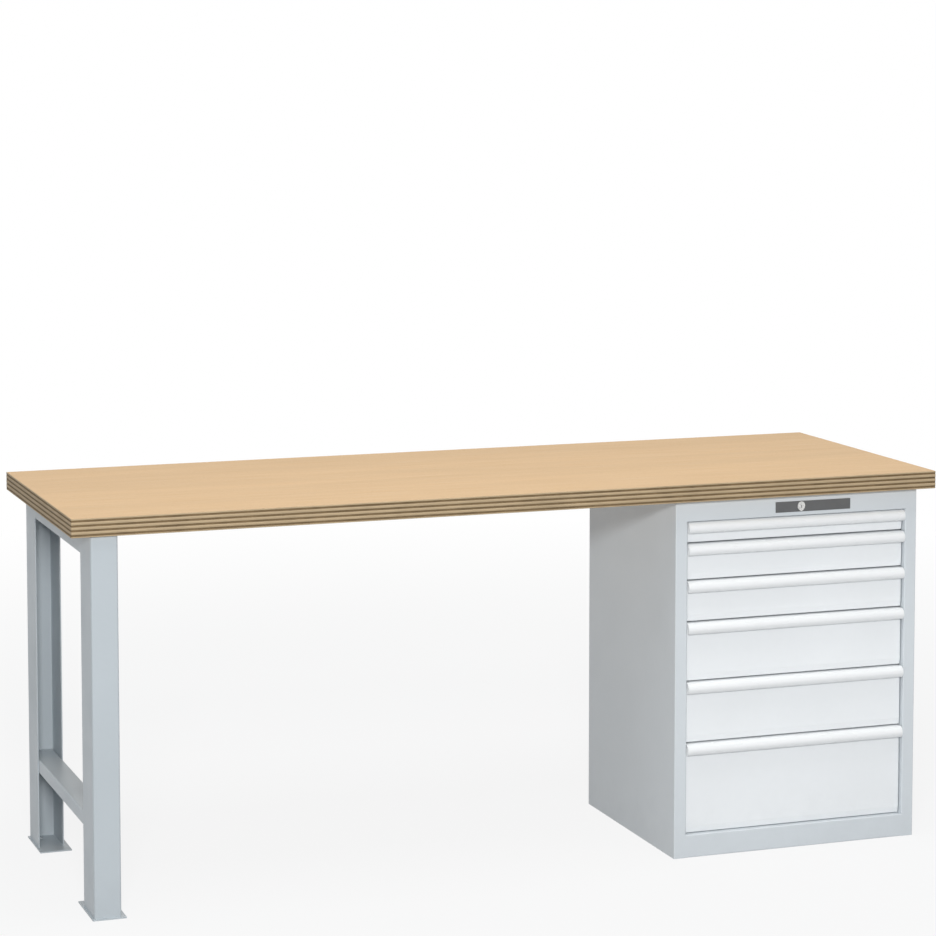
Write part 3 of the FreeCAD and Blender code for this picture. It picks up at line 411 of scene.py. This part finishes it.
def make_board(settings):
    """Multiplex board whose plies stand out at its edges."""
    rings = board_rings(settings)
    outline = split_runs(ring_corners(0.0, settings.edge_round * 1.5, 4), 0.02)
    mesh = bpy.data.meshes.new("worktop_board")
    build = bmesh.new()
    rows = []
    centre = (BOARD_LOW + BOARD_HIGH) / 2
    half = (BOARD_HIGH - BOARD_LOW) / 2
    for height, inset, finish in rings:
        row = []
        for x, y in outline:
            wander = noise.noise(Vector((x * 9, y * 9, height * 400))) * settings.relief * 0.5
            depth = inset + (max(0.0, wander) if finish == 2 else 0.0)
            row.append(build.verts.new((centre.x + (x - centre.x) * (1 - depth / half.x),
                                        centre.y + (y - centre.y) * (1 - depth / half.y), height)))
        rows.append(row)
    for number in range(len(rows) - 1):
        lower, upper = rows[number], rows[number + 1]
        for i in range(len(outline)):
            j = (i + 1) % len(outline)
            face = build.faces.new((lower[i], lower[j], upper[j], upper[i]))
            face.material_index = rings[number][2]
            face.smooth = True
    build.faces.new(rows[-1]).material_index = 0
    build.faces.new(rows[0][::-1]).material_index = 0
    build.normal_update()
    build.to_mesh(mesh)
    build.free()
    board = bpy.data.objects.new("worktop_board", mesh)
    bpy.context.scene.collection.objects.link(board)
    return board


class WORKBENCH_OT_board(bpy.types.Operator):
    """Replace the plain worktop with a board of plies"""
    bl_idname = "workbench.board"
    bl_label = "Worktop board"

    def execute(self, context):
        settings = context.scene.workbench_board
        board = make_board(settings)
        board.data.materials.append(beech_face("beech_face", settings.face_color))
        board.data.materials.append(pale_ply("pale_ply", settings.pale_ply_color))
        board.data.materials.append(dark_ply("dark_ply", settings.dark_ply_color))
        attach(board, "bench")
        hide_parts("worktop")
        return {"FINISHED"}


class WORKBENCH_OT_sheets(bpy.types.Operator):
    """Coat the cabinet's sheets and the leg frame"""
    bl_idname = "workbench.sheets"
    bl_label = "Cabinet and leg frame"

    def execute(self, context):
        settings = context.scene.workbench_paint
        coat = powder_coat("cabinet_coat", settings.paint_color, settings)
        for node in HOUSING_NODES:
            give(node, coat)
        # Darker copy of the cabinet coat on the leg frame: partly its own grey, partly painted shade.
        coat = powder_coat("leg_coat_with_painted_shade", settings.leg_color_with_painted_shade, settings)
        for node in LEG_NODES:
            give(node, coat)
        return {"FINISHED"}


class WORKBENCH_OT_drawers(bpy.types.Operator):
    """Coat fronts and trays and finish the handles"""
    bl_idname = "workbench.drawers"
    bl_label = "Drawers"

    def execute(self, context):
        settings = context.scene.workbench_paint
        # Lighter copy of the cabinet coat on the fronts: partly their own colour, partly a painted highlight.
        front = powder_coat("front_coat_with_painted_highlight", settings.front_color_with_painted_highlight, settings)
        tray = powder_coat("tray_coat", settings.paint_color, settings)
        handle = satin_handle("satin_handle", settings.handle_color, settings)
        for number in DRAWERS:
            give(f"drawer_{number}_front", front)
            give(f"drawer_{number}_tray", tray)
            give(f"drawer_{number}_handle", handle)
        return {"FINISHED"}


class WORKBENCH_OT_runners(bpy.types.Operator):
    """Plate the runners, bars and screws"""
    bl_idname = "workbench.runners"
    bl_label = "Runners and fixings"

    def execute(self, context):
        settings = context.scene.workbench_metal
        zinc = zinc_plate("zinc_plate", settings.zinc_color)
        roller = grained_plastic("roller_plastic", settings.roller_color, 0.0006, 0.42)
        for node in ZINC_NODES:
            give(node, zinc)
        for number in DRAWERS:
            give(f"drawer_{number}_rails", zinc)
            give(f"drawer_{number}_mid_rails", zinc)
            give(f"drawer_{number}_catch", zinc)
        give("cabinet_rollers", roller)
        return {"FINISHED"}


class WORKBENCH_OT_lock(bpy.types.Operator):
    """Finish the lock and the dark strip round it"""
    bl_idname = "workbench.lock"
    bl_label = "Lock"

    def execute(self, context):
        settings = context.scene.workbench_metal
        nickel = satin_nickel("satin_nickel", settings.nickel_color)
        for node in LOCK_NODES:
            give(node, nickel)
        give("lock_strip", grained_plastic("dark_strip", settings.strip_color, 0.0005, 0.45))
        return {"FINISHED"}


# ---------------------------------------------------------------- stage
CAMERA_PLACE = (-2.2452, -6.2325, 1.8355)
CAMERA_TURN = 19.74
CAMERA_TILT = 4.883
CAMERA_SHIFT = -0.1923
FLOOR_RADIUS = 45.0
FLOOR_FADE = (1.6, 4.5)


def area_light(name, place, target, size, power, color):
    """Soft box that faces its target."""
    data = bpy.data.lights.new(name, "AREA")
    data.shape = "RECTANGLE"
    data.size, data.size_y = size
    data.energy = power
    data.color = color
    lamp = bpy.data.objects.new(name, data)
    lamp.location = place
    lamp.rotation_euler = (Vector(target) - Vector(place)).to_track_quat("-Z", "Y").to_euler()
    bpy.context.scene.collection.objects.link(lamp)
    return lamp


def floor_material(color):
    """Matte floor that turns white away from the bench where it is seen."""
    s = Shade("floor")
    speckle = s.remap(s.grain(60.0, 3.0), 0.0, 1.0)
    base = s.blend(speckle, scaled(color, 0.985), color)
    diffuse = s.node("ShaderNodeBsdfDiffuse", Color=base, Roughness=0.5)
    glow = s.node("ShaderNodeEmission", Color=(1.0, 1.0, 1.0), Strength=1.0)
    distance = s.node("ShaderNodeVectorMath", {"operation": "LENGTH"})
    s.set(distance.inputs[0], s.place)
    fade = s.remap(distance.outputs["Value"], 0.86, 1.0, *FLOOR_FADE)
    share = s.math("MULTIPLY", fade, s.seen_directly())
    mixed = s.node("ShaderNodeMixShader")
    s.set(mixed.inputs[0], share)
    s.tree.links.new(diffuse.outputs[0], mixed.inputs[1])
    s.tree.links.new(glow.outputs[0], mixed.inputs[2])
    s.tree.links.new(mixed.outputs[0], s.output.inputs["Surface"])
    return s.material


def make_floor(color):
    build = bmesh.new()
    rim = [build.verts.new((FLOOR_RADIUS * math.cos(math.tau * i / 96), FLOOR_RADIUS * math.sin(math.tau * i / 96), 0.0))
           for i in range(96)]
    build.faces.new(rim)
    mesh = bpy.data.meshes.new("floor")
    build.to_mesh(mesh)
    build.free()
    floor = bpy.data.objects.new("floor", mesh)
    floor.location.z = FRAME_BOX[0][2] - 0.0005
    mesh.materials.append(floor_material(color))
    bpy.context.scene.collection.objects.link(floor)
    return floor


def set_world(fill):
    """Even light for things, and white where the camera sees the surroundings."""
    world = bpy.data.worlds.new("studio")
    bpy.context.scene.world = world
    world.use_nodes = True
    tree = world.node_tree
    tree.nodes.clear()
    path = tree.nodes.new("ShaderNodeLightPath")
    seen = path.outputs["Is Camera Ray"]
    for kind in ("Is Glossy Ray", "Is Transmission Ray"):
        joined = tree.nodes.new("ShaderNodeMath")
        joined.use_clamp = True
        tree.links.new(seen, joined.inputs[0])
        tree.links.new(path.outputs[kind], joined.inputs[1])
        seen = joined.outputs[0]
    around = tree.nodes.new("ShaderNodeBackground")
    around.inputs["Color"].default_value = (0.96, 0.98, 1.0, 1.0)
    around.inputs["Strength"].default_value = fill
    white = tree.nodes.new("ShaderNodeBackground")
    white.inputs["Color"].default_value = (1.0, 1.0, 1.0, 1.0)
    mixed = tree.nodes.new("ShaderNodeMixShader")
    output = tree.nodes.new("ShaderNodeOutputWorld")
    tree.links.new(seen, mixed.inputs[0])
    tree.links.new(around.outputs[0], mixed.inputs[1])
    tree.links.new(white.outputs[0], mixed.inputs[2])
    tree.links.new(mixed.outputs[0], output.inputs["Surface"])


def make_camera(lens):
    data = bpy.data.cameras.new("camera")
    data.lens = lens
    data.shift_y = CAMERA_SHIFT
    camera = bpy.data.objects.new("camera", data)
    camera.location = CAMERA_PLACE
    camera.rotation_euler = (math.radians(90 - CAMERA_TILT), 0.0, math.radians(-CAMERA_TURN))
    bpy.context.scene.collection.objects.link(camera)
    bpy.context.scene.camera = camera


class WORKBENCH_OT_stage(bpy.types.Operator):
    """Lay the floor and set the lights and camera"""
    bl_idname = "workbench.stage"
    bl_label = "Stage"

    def execute(self, context):
        settings = context.scene.workbench_stage
        context.scene.view_settings.view_transform = "Standard"
        make_floor(settings.floor_color)
        set_world(settings.fill)
        area_light("key", (-0.1, -0.9, 4.4), (-0.1, 0.0, 0.85), (3.4, 2.0), settings.key_power, (1.0, 0.99, 0.97))
        area_light("front", (-2.2, -5.7, 2.5), (0.0, 0.0, 0.45), (1.3, 0.5), settings.front_power, (1.0, 1.0, 1.0))
        area_light("sheen", (1.25, -1.4, 0.25), (0.75, -0.33, 0.42), (0.9, 0.16), settings.sheen_power, (1.0, 1.0, 1.0))
        make_camera(settings.lens)
        return {"FINISHED"}


class WORKBENCH_PT_panel(bpy.types.Panel):
    """Every step of the workbench's finish, in order"""
    bl_idname = "WORKBENCH_PT_panel"
    bl_label = "Workbench"
    bl_space_type = "VIEW_3D"
    bl_region_type = "UI"
    bl_category = "Workbench"

    def draw(self, context):
        for step in STEPS:
            self.layout.operator(step.bl_idname)
        for key, group in SETTINGS.items():
            box = self.layout.box()
            for name in group.__annotations__:
                box.prop(getattr(context.scene, key), name)


STEPS = [WORKBENCH_OT_board, WORKBENCH_OT_sheets, WORKBENCH_OT_drawers, WORKBENCH_OT_runners, WORKBENCH_OT_lock,
         WORKBENCH_OT_stage]
CLASSES = [*SETTINGS.values(), *STEPS, WORKBENCH_PT_panel]


def register():
    for each in CLASSES:
        bpy.utils.register_class(each)
    for key, group in SETTINGS.items():
        setattr(bpy.types.Scene, key, bpy.props.PointerProperty(type=group))


def unregister():
    for key in SETTINGS:
        delattr(bpy.types.Scene, key)
    for each in reversed(CLASSES):
        bpy.utils.unregister_class(each)


def main():
    register()
    for step in STEPS:
        group, name = step.bl_idname.split(".")
        getattr(getattr(bpy.ops, group), name)()


if __name__ == "__main__":
    main()
